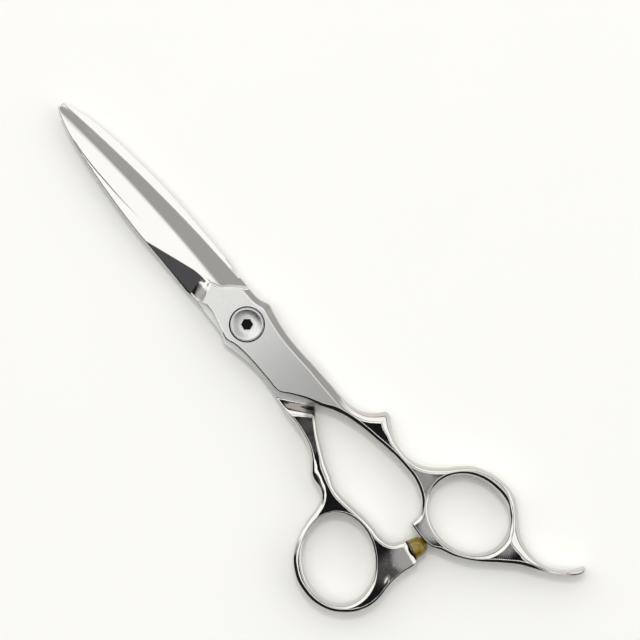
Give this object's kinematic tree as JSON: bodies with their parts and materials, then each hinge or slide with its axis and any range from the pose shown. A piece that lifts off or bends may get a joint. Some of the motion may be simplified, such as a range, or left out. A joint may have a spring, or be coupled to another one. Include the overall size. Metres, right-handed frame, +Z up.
{
  "type": "hair cutting shears",
  "caption": "Slim steel hair cutting shears with crossing blades, a dished hex tension screw, a finger ring with curved rest and a thumb ring with a rubber bumper.",
  "frame": {"origin": "on the pivot axis, at the flat back of the pivot nut, which is the face the closed shears lie on", "axes": "+X from the pivot to the blade tips, +Y to the side of the thumb ring, +Z up through the screw's head"},
  "size_m": [0.17, 0.0562, 0.0056],
  "materials": {
    "polished_steel": "polished, with a satin pivot plate",
    "bearing_steel": "ground",
    "spring_steel": "dark satin",
    "cage_brass": "plain",
    "amber_rubber": "translucent amber, moulded"
  },
  "bodies": {
    "finger_half": {"finger_blade": "polished_steel", "finger_handle": "polished_steel", "seat_race": "bearing_steel"},
    "thumb_half": {"thumb_blade": "polished_steel", "thumb_handle": "polished_steel", "bumper": "amber_rubber", "bumper_stud": "spring_steel", "back_nut": "polished_steel", "spring_washer": "spring_steel"},
    "tension_screw": {"pivot_screw": "polished_steel", "head_race": "bearing_steel"},
    "bearing": {"ball_cage": "cage_brass", "ball_1": "bearing_steel", "ball_2": "bearing_steel", "ball_3": "bearing_steel", "ball_4": "bearing_steel", "ball_5": "bearing_steel", "ball_6": "bearing_steel", "ball_7": "bearing_steel", "ball_8": "bearing_steel"}
  },
  "joints": [
    {"name": "blade_hinge", "type": "hinge", "parent": "finger_half", "child": "thumb_half", "pos_m": [0, 0, 0], "axis": [0, 0, -1], "range_deg": [0, 90]},
    {"name": "tension_turn", "type": "hinge", "parent": "thumb_half", "child": "tension_screw", "pos_m": [0, 0, 0], "axis": [0, 0, 1], "range_deg": [-45, 45]},
    {"name": "cage_roll", "type": "hinge", "parent": "finger_half", "child": "bearing", "pos_m": [0, 0, 0], "axis": [0, 0, -1], "range_deg": [0, 45]}
  ],
  "couplings": [
    {"joint": "cage_roll", "follows": "blade_hinge", "ratio": 0.5}
  ]
}
